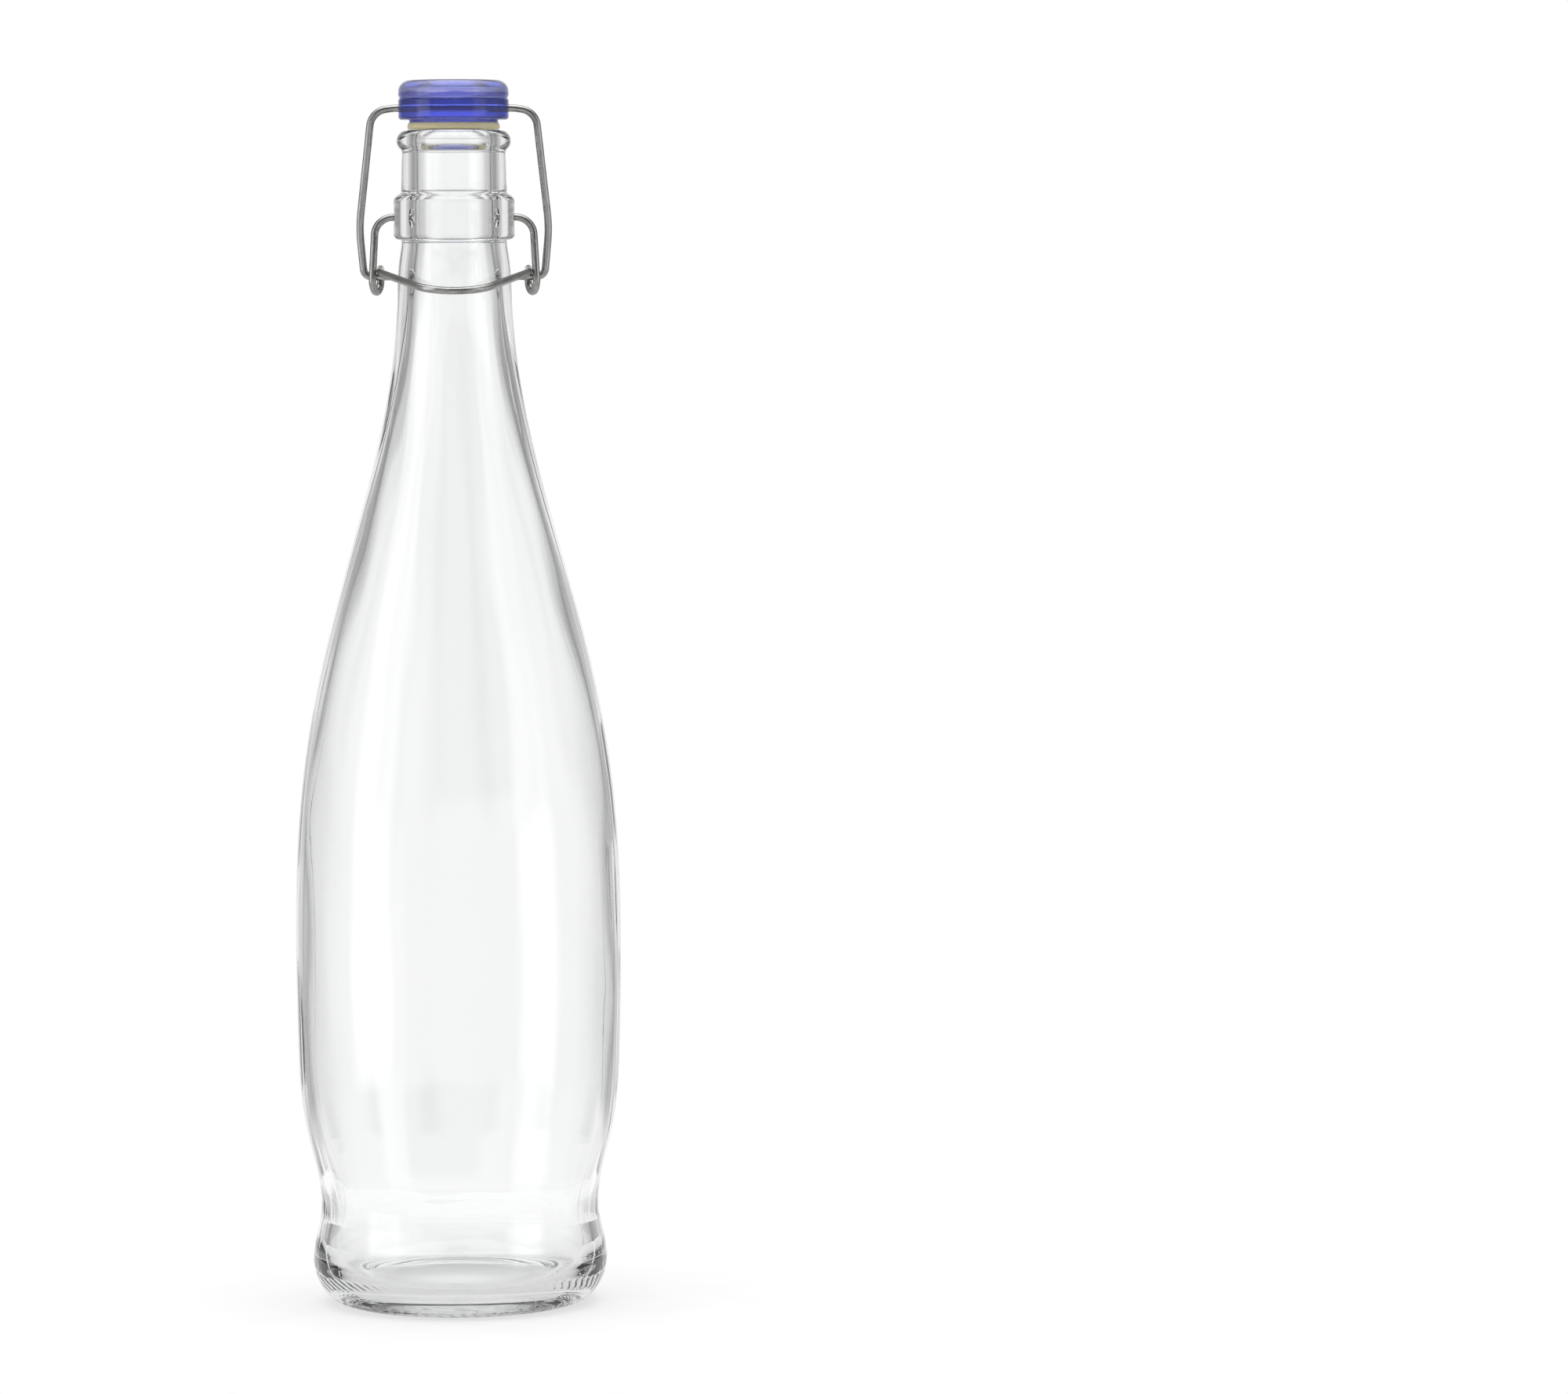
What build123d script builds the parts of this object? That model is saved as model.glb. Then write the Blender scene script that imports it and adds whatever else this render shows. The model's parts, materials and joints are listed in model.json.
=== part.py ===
"""Swing top bottle: a one litre glass bottle with a wire bail closure.

Millimetres, +Z up. The origin is the centre of the ring that the base stands on,
X runs through the two pivot dimples, and the thumb bar of the lever is at -Y.
The closure is drawn closed.
"""
import math
import os

from build123d import *

# Glass body, from the base plane upwards
RING_INNER = 28.6  # flat ring that the bottle stands on
RING_OUTER = 30.5
PUSH_UP = 6.0  # height of the hollow under the base
HEEL_RADIUS = 40.5
HEEL_HEIGHT = 12.5
FLANK = [  # radius and height of the outside, from heel to neck
    (HEEL_RADIUS, HEEL_HEIGHT),
    (38.3, 24.0),
    (41.9, 47.0),
    (44.3, 74.0),
    (44.7, 106.0),
    (42.4, 145.0),
    (35.0, 184.0),
    (24.6, 222.5),
    (17.6, 255.0),
    (15.7, 274.0),
]
NECK_LEAN = (-0.05, 1)  # direction of the outside at the top of the flank
NECK_MIDDLE = (15.3, 284.5)
NECK_TOP = (14.5, 290.8)
NECK_TOP_LEAN = (-0.1, 1)

# Cavity
BODY_WALL = 2.8
WAIST_WALL = 3.1
NECK_EXTRA = 1.3  # how much thicker the wall is at the top of the flank
STRAIGHT_WALL_TOP = 145.0  # up to here the wall is even
FLOOR_HEIGHT = 5.6
FLOOR_RISE = 3.9  # how far the middle of the floor stands above its rim
FLOOR_RADIUS = 27.0
INNER_HEEL = [(36.3, 13.6), (33.2, 8.0)]  # the inside follows the outside round the heel
FOOT_LEAN = (0.03, -1)  # direction of the inside wall, down past the waist
THROAT = (10.8, 285.0)  # the bore has opened out a little here, under the collar
BORE_RADIUS = 10.0
BORE_BOTTOM = 294.0
MOUTH_EDGE = 1.6

# Finish: the collar for the pivots, and the lip bead
COLLAR_RADIUS = 16.6
COLLAR_BOTTOM = 292.2
COLLAR_TOP = 304.8
COLLAR_TOP_EDGE = 2.5
COLLAR_BOTTOM_EDGE = 1.6
STEM_LOW = 14.5  # outside of the glass above the collar
STEM_HIGH = 14.15  # and below the lip
LIP_RADIUS = 15.6
LIP_BOTTOM = 316.6
LIP_TOP = 322.2

# Wire of the closure
WIRE = 2.05
PIN_CLEARANCE = 0.06  # radial, round a pin in its hole
STRAND_CLEARANCE = 0.15  # between two wires that pass each other

# Lever: a wire sprung into the collar, with an eye each side and a thumb bar in front
PIVOT_HEIGHT = 298.4
PIVOT_TIP = 14.0  # half distance between the two pivot tips
DIMPLE_END = 13.4
DIMPLE_MOUTH = 5.2  # diameter of the countersink in the glass
DIMPLE_SINK = 1.3
SHOULDER_X = 21.5  # where the leg leaves the pivot's line
LEG_X = 22.4  # at the foot of the leg
LEG_BEND = 5.0
EYE_RADIUS = 3.1
EYE_HEIGHT = 281.3
EYE_SHIFT = WIRE + STRAND_CLEARANCE  # sideways, from the leg to the returning strand
PIN_Y = 1.4  # the eye is behind the pivot, so the closed lever is over centre
PIN_HEIGHT = EYE_HEIGHT + EYE_RADIUS - WIRE - STRAND_CLEARANCE
BAR_REACH = 25.0  # the nose of the thumb bar, in front of the axis
BAR_SLOPE = 12.5
BAR_LEAD = 4.5  # straight run before the bar turns inwards
BAR_NOSE = 12.0
BAR_BEND = 5.0

# Bail: a wire from eye to eye, over the top and through the stopper
CROSSBAR_HEIGHT = 328.1
PIN_TIP = 16.8
BAIL_FOOT_X = 24.65
BAIL_WAIST_X = 25.9
BAIL_WAIST_DROP = 32.5  # below the crossbar
BAIL_TOP_X = 22.4
DROOP_X = 16.6  # the crossbar's ends droop from here, outside the stopper
DROOP = 0.9
BAIL_FOOT_BEND = 2.3
BAIL_WAIST_BEND = 40.0
BAIL_TOP_BEND = 5.0
DROOP_BEND = 12.0

# Stopper head
HEAD_RADIUS = 15.1
HEAD_BOTTOM = 324.9
HEAD_TOP = 335.8
HEAD_TOP_EDGE = 3.2
HEAD_BOTTOM_EDGE = 0.9
DISH_RADIUS = 9.0  # shallow recess in the top
DISH_DEPTH = 0.7
GROOVE_HEIGHT = 330.9
GROOVE_WIDTH = 1.0
GROOVE_DEPTH = 0.25
STEP_RADIUS = 12.2  # shoulder that presses on the gasket
PEG_RADIUS = 6.0  # carries the gasket
BUTTON_RADIUS = 7.6  # keeps the gasket on the peg
BUTTON_HEIGHT = 1.0
BUTTON_EDGE = 0.7

# Gasket
GASKET_TOP = 324.3
GASKET_BOTTOM = 322.4
GASKET_TOP_RADIUS = 12.1
GASKET_BOTTOM_RADIUS = 12.6


def smooth(points, start, end):
    """A spline through points that leaves and arrives in the given directions."""
    return Spline(*points, tangents=[start, end], tangent_scalars=[1, 1])


def dome(middle, edge):
    """An arc that leaves the axis level and ends at the edge."""
    return TangentArc(middle, edge, tangent=(1, 0))


def wall(height):
    """Wall thickness of the flank: even in the body, and thicker towards the neck."""
    above = max(0.0, height - STRAIGHT_WALL_TOP)
    return BODY_WALL + NECK_EXTRA * (above / (FLANK[-1][1] - STRAIGHT_WALL_TOP)) ** 2


def body_outline():
    """Outside of the glass, from the middle of the base to the underside of the collar."""
    collar_edge = (COLLAR_RADIUS - COLLAR_BOTTOM_EDGE, COLLAR_BOTTOM)
    heel_width = HEEL_RADIUS - RING_OUTER
    return [
        dome((0, PUSH_UP), (RING_INNER, 0)),
        Line((RING_INNER, 0), (RING_OUTER, 0)),
        EllipticalCenterArc((RING_OUTER, HEEL_HEIGHT), heel_width, HEEL_HEIGHT, -90, arc_size=90),
        smooth(FLANK, (0, 1), NECK_LEAN),
        smooth([FLANK[-1], NECK_MIDDLE, NECK_TOP], NECK_LEAN, NECK_TOP_LEAN),
        Polyline(NECK_TOP, (NECK_TOP[0], COLLAR_BOTTOM), collar_edge),
    ]


def finish_outline():
    """Outside of the collar and the lip bead, up to the top of the lip."""
    low = COLLAR_BOTTOM + COLLAR_BOTTOM_EDGE
    high = COLLAR_TOP - COLLAR_TOP_EDGE
    lip_middle = (LIP_BOTTOM + LIP_TOP) / 2
    lip_edge = LIP_TOP - lip_middle
    return [
        TangentArc((COLLAR_RADIUS - COLLAR_BOTTOM_EDGE, COLLAR_BOTTOM), (COLLAR_RADIUS, low), tangent=(1, 0)),
        Line((COLLAR_RADIUS, low), (COLLAR_RADIUS, high)),
        TangentArc((COLLAR_RADIUS, high), (STEM_LOW, COLLAR_TOP), tangent=(0, 1)),
        Line((STEM_LOW, COLLAR_TOP), (STEM_HIGH, LIP_BOTTOM)),
        ThreePointArc((STEM_HIGH, LIP_BOTTOM), (LIP_RADIUS, lip_middle), (LIP_RADIUS - lip_edge, LIP_TOP)),
        Line((LIP_RADIUS - lip_edge, LIP_TOP), (BORE_RADIUS + MOUTH_EDGE, LIP_TOP)),
    ]


def cavity_outline():
    """Inside of the glass, from the edge of the mouth to the middle of the floor."""
    mouth_bottom = LIP_TOP - MOUTH_EDGE
    skin = [(radius - wall(height), height) for radius, height in reversed(FLANK[2:])]
    foot = (FLANK[1][0] - WAIST_WALL, FLANK[1][1])
    floor_edge = (FLOOR_RADIUS, FLOOR_HEIGHT)
    return [
        TangentArc((BORE_RADIUS + MOUTH_EDGE, LIP_TOP), (BORE_RADIUS, mouth_bottom), tangent=(-1, 0)),
        Line((BORE_RADIUS, mouth_bottom), (BORE_RADIUS, BORE_BOTTOM)),
        smooth([(BORE_RADIUS, BORE_BOTTOM), THROAT, *skin, foot], (0, -1), FOOT_LEAN),
        smooth([foot, *INNER_HEEL, floor_edge], FOOT_LEAN, (-1, 0)),
        dome((0, FLOOR_HEIGHT + FLOOR_RISE), floor_edge),
        Line((0, FLOOR_HEIGHT + FLOOR_RISE), (0, PUSH_UP)),
    ]


def dimple(side):
    """The blind pivot hole on one side of the collar, with its countersink."""
    radius = WIRE / 2 + PIN_CLEARANCE
    depth = COLLAR_RADIUS - DIMPLE_END
    align = (Align.CENTER, Align.CENTER, Align.MIN)
    hole = Cylinder(radius, 2 * depth, align=align)
    sink = Pos(0, 0, depth - DIMPLE_SINK) * Cone(radius, DIMPLE_MOUTH / 2, DIMPLE_SINK, align=align)
    return Plane((side * DIMPLE_END, 0, PIVOT_HEIGHT), z_dir=(side, 0, 0)) * (hole + sink)


def glass_bottle():
    """The bottle: one turned body of glass with a pivot dimple on each side."""
    section = make_face([*body_outline(), *finish_outline(), *cavity_outline()])
    return revolve(Plane.XZ * section, Axis.Z) - dimple(-1) - dimple(1)


def wire_along(path):
    """A round wire along a path of tangent lines and arcs."""
    section = Plane(path.position_at(0), z_dir=path.tangent_at(0)) * Circle(WIRE / 2)
    return sweep(section, path=path)


def arc_about(centre, first, second, start, turn):
    """An arc about a centre, in the plane of two radii at right angles; in degrees."""

    def point(angle):
        angle = math.radians(angle)
        return centre + first * math.cos(angle) + second * math.sin(angle)

    return ThreePointArc(point(start), point(start + turn / 2), point(start + turn))


def bar_apex(half_width, nose):
    """Where the flanks of the thumb bar would meet if its nose weren't rounded."""
    apex = nose
    for _ in range(60):
        flank_angle = math.atan2(half_width, apex - BAR_LEAD)
        apex = nose + BAR_NOSE * (1 / math.sin(flank_angle) - 1)
    return apex


def lever_side():
    """One side of the lever: pivot, leg, and the eye that turns back over the leg."""
    up = Vector(0, 0, EYE_RADIUS)
    back = Vector(0, EYE_RADIUS, 0)
    leg_foot = Vector(LEG_X, PIN_Y - EYE_RADIUS, EYE_HEIGHT)
    eye_middle = Vector(LEG_X - EYE_SHIFT, PIN_Y, EYE_HEIGHT)
    across = (eye_middle + back - leg_foot) * 0.5
    depth = Vector(0, 0, across.length)
    shoulder = Vector(SHOULDER_X, 0, PIVOT_HEIGHT)
    leg = FilletPolyline((PIVOT_TIP, 0, PIVOT_HEIGHT), shoulder, leg_foot, radius=LEG_BEND)
    under = arc_about(leg_foot + across, across, depth, 180, 180)
    over = arc_about(eye_middle, back, up, 0, 90 + BAR_SLOPE)
    return leg, under, over


def thumb_bar(start):
    """The bar in front, from the end of one eye to the other."""
    slope = math.radians(BAR_SLOPE)
    forward = Vector(0, -math.cos(slope), -math.sin(slope))
    nose = (BAR_REACH + start.Y) / math.cos(slope)
    turn = start + forward * BAR_LEAD
    apex = Vector(0, start.Y, start.Z) + forward * bar_apex(start.X, nose)
    other_turn = Vector(-turn.X, turn.Y, turn.Z)
    other_start = Vector(-start.X, start.Y, start.Z)
    return FilletPolyline(start, turn, apex, other_turn, other_start, radius=[BAR_BEND, BAR_NOSE, BAR_BEND])


def lever_wire():
    """The lever: a pivot, a leg and an eye on each side, joined by the thumb bar."""
    side = lever_side()
    bar = thumb_bar(side[-1].position_at(1))
    other_side = [mirror(piece, about=Plane.YZ) for piece in side]
    return wire_along(Wire([edge for piece in (*side, bar, *other_side) for edge in piece.edges()]))


def bail_wire():
    """The bail: pins in the two lever eyes, side legs, and the crossbar above them."""
    foot = Vector(0, PIN_Y, PIN_HEIGHT)
    top = Vector(0, 0, CROSSBAR_HEIGHT)
    down = (foot - top).normalized()
    waist, corner = top + down * BAIL_WAIST_DROP, top + down * DROOP
    levels = [(foot, PIN_TIP), (foot, BAIL_FOOT_X), (waist, BAIL_WAIST_X)]
    levels += [(corner, BAIL_TOP_X), (top, DROOP_X)]
    side = [level + Vector(x, 0, 0) for level, x in levels]
    other_side = [level - Vector(x, 0, 0) for level, x in reversed(levels)]
    bends = [BAIL_FOOT_BEND, BAIL_WAIST_BEND, BAIL_TOP_BEND, DROOP_BEND]
    return wire_along(FilletPolyline(*side, *other_side, radius=[*bends, *reversed(bends)]))


def head_outline():
    """Outside of the head, from the middle of its top to the shoulder under it."""
    top = HEAD_TOP - HEAD_TOP_EDGE
    low = HEAD_BOTTOM + HEAD_BOTTOM_EDGE
    groove_top = (HEAD_RADIUS, GROOVE_HEIGHT + GROOVE_WIDTH / 2)
    groove_bottom = (HEAD_RADIUS, GROOVE_HEIGHT - GROOVE_WIDTH / 2)
    under = (HEAD_RADIUS - HEAD_BOTTOM_EDGE, HEAD_BOTTOM)
    return [
        dome((0, HEAD_TOP - DISH_DEPTH), (DISH_RADIUS, HEAD_TOP)),
        Line((DISH_RADIUS, HEAD_TOP), (HEAD_RADIUS - HEAD_TOP_EDGE, HEAD_TOP)),
        TangentArc((HEAD_RADIUS - HEAD_TOP_EDGE, HEAD_TOP), (HEAD_RADIUS, top), tangent=(1, 0)),
        Line((HEAD_RADIUS, top), groove_top),
        ThreePointArc(groove_top, (HEAD_RADIUS - GROOVE_DEPTH, GROOVE_HEIGHT), groove_bottom),
        Line(groove_bottom, (HEAD_RADIUS, low)),
        TangentArc((HEAD_RADIUS, low), under, tangent=(0, -1)),
        Polyline(under, (STEP_RADIUS, HEAD_BOTTOM), (STEP_RADIUS, GASKET_TOP), (PEG_RADIUS, GASKET_TOP)),
    ]


def button_outline():
    """Outside of the peg and its button, from the head down to the axis."""
    bottom = GASKET_BOTTOM - BUTTON_HEIGHT
    side_end = (BUTTON_RADIUS, bottom + BUTTON_EDGE)
    flat_edge = (BUTTON_RADIUS - BUTTON_EDGE, bottom)
    return [
        Line((PEG_RADIUS, GASKET_TOP), (PEG_RADIUS, GASKET_BOTTOM)),
        Polyline((PEG_RADIUS, GASKET_BOTTOM), (BUTTON_RADIUS, GASKET_BOTTOM), side_end),
        TangentArc(side_end, flat_edge, tangent=(0, -1)),
        Polyline(flat_edge, (0, bottom), (0, HEAD_TOP - DISH_DEPTH)),
    ]


def stopper_head():
    """The stopper: a head with a cross hole, and a peg with a button for the gasket."""
    head = revolve(Plane.XZ * make_face([*head_outline(), *button_outline()]), Axis.Z)
    cross_hole = Cylinder(WIRE / 2 + PIN_CLEARANCE, 3 * HEAD_RADIUS, rotation=(0, 90, 0))
    return head - Pos(0, 0, CROSSBAR_HEIGHT) * cross_hole


def gasket():
    """The gasket: a soft ring held between the head and the button."""
    middle = (GASKET_TOP + GASKET_BOTTOM) / 2
    outline = Polyline(
        (PEG_RADIUS, GASKET_TOP),
        (GASKET_TOP_RADIUS, GASKET_TOP),
        (GASKET_BOTTOM_RADIUS, middle),
        (GASKET_BOTTOM_RADIUS, GASKET_BOTTOM),
        (PEG_RADIUS, GASKET_BOTTOM),
        close=True,
    )
    return revolve(Plane.XZ * make_face(outline), Axis.Z)


os.makedirs("parts", exist_ok=True)
for build_piece in (glass_bottle, lever_wire, bail_wire, stopper_head, gasket):
    export_step(build_piece(), f"parts/{build_piece.__name__}.step")
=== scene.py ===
"""Looks of the swing top bottle: glass, stopper, gasket and the two wires, in metres.

The camera and the studio come first, then the shape helpers, the pieces and their
materials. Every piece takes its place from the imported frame.
"""
import json
import math

import bpy
import numpy as np
from mathutils import Matrix, Vector


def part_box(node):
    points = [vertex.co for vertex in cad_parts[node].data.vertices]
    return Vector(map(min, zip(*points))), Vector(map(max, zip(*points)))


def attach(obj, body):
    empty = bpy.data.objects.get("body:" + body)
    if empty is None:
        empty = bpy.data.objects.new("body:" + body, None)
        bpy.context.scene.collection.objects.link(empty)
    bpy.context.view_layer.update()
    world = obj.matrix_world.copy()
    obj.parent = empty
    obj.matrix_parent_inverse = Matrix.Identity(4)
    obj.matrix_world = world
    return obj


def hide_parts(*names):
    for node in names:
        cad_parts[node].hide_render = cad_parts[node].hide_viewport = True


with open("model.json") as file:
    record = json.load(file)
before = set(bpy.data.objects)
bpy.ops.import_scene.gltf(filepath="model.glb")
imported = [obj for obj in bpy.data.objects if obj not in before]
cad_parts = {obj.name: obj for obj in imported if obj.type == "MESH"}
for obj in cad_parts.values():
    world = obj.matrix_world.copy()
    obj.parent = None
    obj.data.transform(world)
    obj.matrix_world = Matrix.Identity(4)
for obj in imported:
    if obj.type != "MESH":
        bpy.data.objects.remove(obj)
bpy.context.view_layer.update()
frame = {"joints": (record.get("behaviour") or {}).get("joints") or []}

MM = 0.001
joints = {joint["name"]: joint for joint in frame["joints"]}


def joint_place(name):
    """Where a hinge's axis crosses the plane X = 0, as (y, z) in millimetres."""
    place = joints[name]["pos_m"]
    return place[1] / MM, place[2] / MM


PIVOT_Y, PIVOT_Z = joint_place("lever_swing")
PIN_Y, PIN_Z = joint_place("bail_swing")
CROSSBAR_Y, CROSSBAR_Z = joint_place("stopper_tilt")
_, BOTTLE_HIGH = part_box("glass_bottle")
LIP_TOP = BOTTLE_HIGH[2] / MM
_, HEAD_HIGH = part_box("stopper_head")
HEAD_TOP = HEAD_HIGH[2] / MM
HEAD_RADIUS = HEAD_HIGH[0] / MM
GASKET_LOW, GASKET_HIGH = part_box("gasket")

# ---------------------------------------------------------------- camera and studio

CAMERA_DISTANCE = 1.909  # level distance from the bottle's axis
CAMERA_HEIGHT = 0.2989
CAMERA_PITCH = 3.966  # degrees down
CAMERA_YAW = 2.695  # degrees, so that the bottle stands left of the middle
CAMERA_ROLL = -0.17
CAMERA_LENS = 159.8


def make_camera():
    camera = bpy.data.objects.new("camera", bpy.data.cameras.new("camera"))
    camera.data.lens = CAMERA_LENS
    camera.data.clip_start = 0.05
    camera.data.clip_end = 50
    turn = Matrix.Rotation(math.radians(-CAMERA_YAW), 4, "Z")
    tilt = Matrix.Rotation(math.radians(90 - CAMERA_PITCH), 4, "X")
    roll = Matrix.Rotation(math.radians(CAMERA_ROLL), 4, "Z")
    camera.matrix_world = Matrix.Translation((0, -CAMERA_DISTANCE, CAMERA_HEIGHT)) @ turn @ tilt @ roll
    bpy.context.scene.collection.objects.link(camera)
    bpy.context.scene.camera = camera


class Tree:
    """A shader's node tree, with short calls that make a node and link its inputs."""

    def __init__(self, owner):
        owner.use_nodes = True
        self.tree = owner.node_tree
        self.tree.nodes.clear()

    def add(self, kind, inputs=(), **settings):
        node = self.tree.nodes.new(kind)
        for name, value in settings.items():
            setattr(node, name, value)
        for name, value in dict(inputs).items():
            self.set(node, name, value)
        return node

    def set(self, node, name, value):
        if isinstance(value, bpy.types.NodeSocket):
            self.tree.links.new(value, node.inputs[name])
        else:
            node.inputs[name].default_value = value

    def math(self, operation, first, second=0.0, third=0.0):
        inputs = {0: first, 1: second, 2: third}
        return self.add("ShaderNodeMath", inputs, operation=operation).outputs[0]

    def ramp(self, value, low, high, out_low, out_high):
        """A smooth step from out_low to out_high as the value goes from low to high."""
        inputs = {"Value": value, 1: low, 2: high, 3: out_low, 4: out_high}
        return self.add("ShaderNodeMapRange", inputs, interpolation_type="SMOOTHSTEP").outputs[0]

    def noise(self, vector, scale, detail=2.0, roughness=0.5):
        inputs = {"Vector": vector, "Scale": scale, "Detail": detail, "Roughness": roughness}
        return self.add("ShaderNodeTexNoise", inputs).outputs["Fac"]

    def mix(self, factor, first, second):
        node = self.add("ShaderNodeMix", {"Factor": factor}, data_type="RGBA")
        self.set(node, 6, first)
        self.set(node, 7, second)
        return node.outputs[2]

    def stretch(self, vector, scale):
        inputs = {"Vector": vector, "Scale": scale}
        return self.add("ShaderNodeMapping", inputs).outputs[0]


# The surround. Angles are in degrees, and a pair is where a smooth step starts and ends.
# An azimuth counts from the camera's side to the right; a lobe is a pair of half widths.
SKY_WHITE = 1.005  # behind the object, seen from the front
SKY_DARK = 0.3  # off the four main directions, and above
LOBE_CORE, LOBE_SKIRT = (24, 9), (44, 20)
SIDE_LEVEL, SIDE_LOBE = 0.8, (44, 9)  # less than white, so that bright edges still show
FRONT_LEVEL, FRONT_LOBE = 0.8, (52, 38)  # the glass mirrors this over its middle
ALOFT = (14, 34)
FLAG_LEVEL, FLAG_AZIMUTH, FLAG_LOBE, FLAG_RISE = 0.1, 18, (40, 28), (5, 9)  # dark card in front
LOWER_RISE, LOWER_LOBE = (-14.5, -10.5), (21, 9)
UNDER_RISE = (-50, -35)  # white again, for a camera that looks down
SKY_TOP, CEILING_RISE = 2.6, (40, 66)
SOFTBOXES = [  # azimuth, half width and strength
    (-66, 15, 1.5),
    (57, 13, 1.1),
]
SOFTBOX_EDGE, SOFTBOX_FOOT, SOFTBOX_HEAD = 5, (-14, -10), (40, 50)


def cos(degrees):
    return math.cos(math.radians(degrees))


def sin(degrees):
    return math.sin(math.radians(degrees))


def make_world():
    """A white surround with darker flanks that draw the glass's edges, and a bright ceiling."""
    world = bpy.data.worlds.new("studio")
    bpy.context.scene.world = world
    t = Tree(world)
    direction = t.add("ShaderNodeTexCoord").outputs["Generated"]
    x, y, z = t.add("ShaderNodeSeparateXYZ", {0: direction}).outputs
    level = t.math("SQRT", t.math("ADD", t.math("MULTIPLY", x, x), t.math("MULTIPLY", y, y)))
    level = t.math("MAXIMUM", level, 1e-4)
    to_x = t.math("DIVIDE", t.math("ABSOLUTE", x), level)
    to_y = t.math("DIVIDE", t.math("ABSOLUTE", y), level)
    nearest_of_4 = t.math("MAXIMUM", to_x, to_y)
    diagonal = t.math("MULTIPLY", t.math("ADD", to_x, to_y), math.sqrt(0.5))
    nearest_of_8 = t.math("MAXIMUM", nearest_of_4, diagonal)

    def towards(azimuth):
        """The cosine of the level angle to an azimuth, counted from the camera's side to the right."""
        along = t.math("MULTIPLY", x, sin(azimuth))
        along = t.math("ADD", along, t.math("MULTIPLY", y, -cos(azimuth)))
        return t.math("DIVIDE", along, level)

    def lobe(cosine, half_widths, low, high):
        """A smooth step from low to high as a direction comes within a lobe."""
        start, end = half_widths
        return t.ramp(cosine, cos(start), cos(end), low, high)

    def rise(elevations, low, high):
        """A smooth step from low to high with the direction's height over the horizon."""
        start, end = elevations
        return t.ramp(z, sin(start), sin(end), low, high)

    def blend(share, value, other):
        """The value, with its share replaced by the other value."""
        return t.math("MULTIPLY_ADD", share, t.math("SUBTRACT", other, value), value)

    core = lobe(nearest_of_4, LOBE_CORE, 0.0, 0.5)
    skirt = lobe(nearest_of_4, LOBE_SKIRT, 0.0, 0.5)
    upper = t.math("MULTIPLY_ADD", t.math("ADD", core, skirt), SKY_WHITE - SKY_DARK, SKY_DARK)
    upper = t.math("SUBTRACT", upper, lobe(to_x, SIDE_LOBE, 0.0, SKY_WHITE - SIDE_LEVEL))
    upper = blend(lobe(towards(0), FRONT_LOBE, 0.0, 1.0), upper, FRONT_LEVEL)
    upper = blend(rise(ALOFT, 0.0, 1.0), upper, SKY_DARK)
    flag = lobe(towards(FLAG_AZIMUTH), FLAG_LOBE, 0.0, 1.0)
    upper = blend(t.math("MULTIPLY", flag, rise(FLAG_RISE, 0.0, 1.0)), upper, FLAG_LEVEL)
    lower = lobe(nearest_of_8, LOWER_LOBE, SKY_DARK, SKY_WHITE)
    lower = t.math("MAXIMUM", lower, rise(UNDER_RISE, SKY_WHITE, 0.0))
    sky = blend(rise(LOWER_RISE, 1.0, 0.0), upper, lower)

    total = t.math("ADD", sky, rise(CEILING_RISE, 0.0, SKY_TOP))
    for azimuth, half, strength in SOFTBOXES:
        box = lobe(towards(azimuth), (half + SOFTBOX_EDGE, half - SOFTBOX_EDGE), 0.0, strength)
        box = t.math("MULTIPLY", box, rise(SOFTBOX_FOOT, 0.0, 1.0))
        box = t.math("MULTIPLY", box, rise(SOFTBOX_HEAD, 1.0, 0.0))
        total = t.math("ADD", total, box)
    light = t.add("ShaderNodeBackground", {"Color": (1, 1, 1, 1), "Strength": total})
    t.add("ShaderNodeOutputWorld", {"Surface": light.outputs[0]})


FLOOR_RADIUS = 0.16
FLOOR_SEGMENTS = 128
FLOOR_GLOW = 0.615  # a light table: lit a little from below, so that shadows stay faint


def make_floor():
    """A round white table top under the bottle."""
    ring = [(FLOOR_RADIUS * math.cos(a), FLOOR_RADIUS * math.sin(a), 0.0)
            for a in np.linspace(0, 2 * math.pi, FLOOR_SEGMENTS, endpoint=False)]
    mesh = bpy.data.meshes.new("floor")
    mesh.from_pydata(ring, [], [tuple(range(FLOOR_SEGMENTS))])
    floor = bpy.data.objects.new("floor", mesh)
    bpy.context.scene.collection.objects.link(floor)
    material = bpy.data.materials.new("floor")
    t = Tree(material)
    place = t.add("ShaderNodeTexCoord").outputs["Object"]
    grain = t.noise(place, 60.0)
    colour = t.mix(grain, (0.29, 0.29, 0.29, 1), (0.33, 0.33, 0.33, 1))
    table = t.add("ShaderNodeBsdfPrincipled", {
        "Base Color": colour, "Roughness": 1.0, "Specular IOR Level": 0.0,
        "Emission Color": (1, 1, 1, 1), "Emission Strength": FLOOR_GLOW,
    })
    t.add("ShaderNodeOutputMaterial", {"Surface": table.outputs[0]})
    mesh.materials.append(material)


def make_view():
    view = bpy.context.scene.view_settings
    view.view_transform = "Standard"
    view.look = "None"
    bpy.context.scene.cycles.max_bounces = 24
    bpy.context.scene.cycles.transmission_bounces = 24
    bpy.context.scene.cycles.glossy_bounces = 8


# ---------------------------------------------------------------- shape helpers


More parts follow.
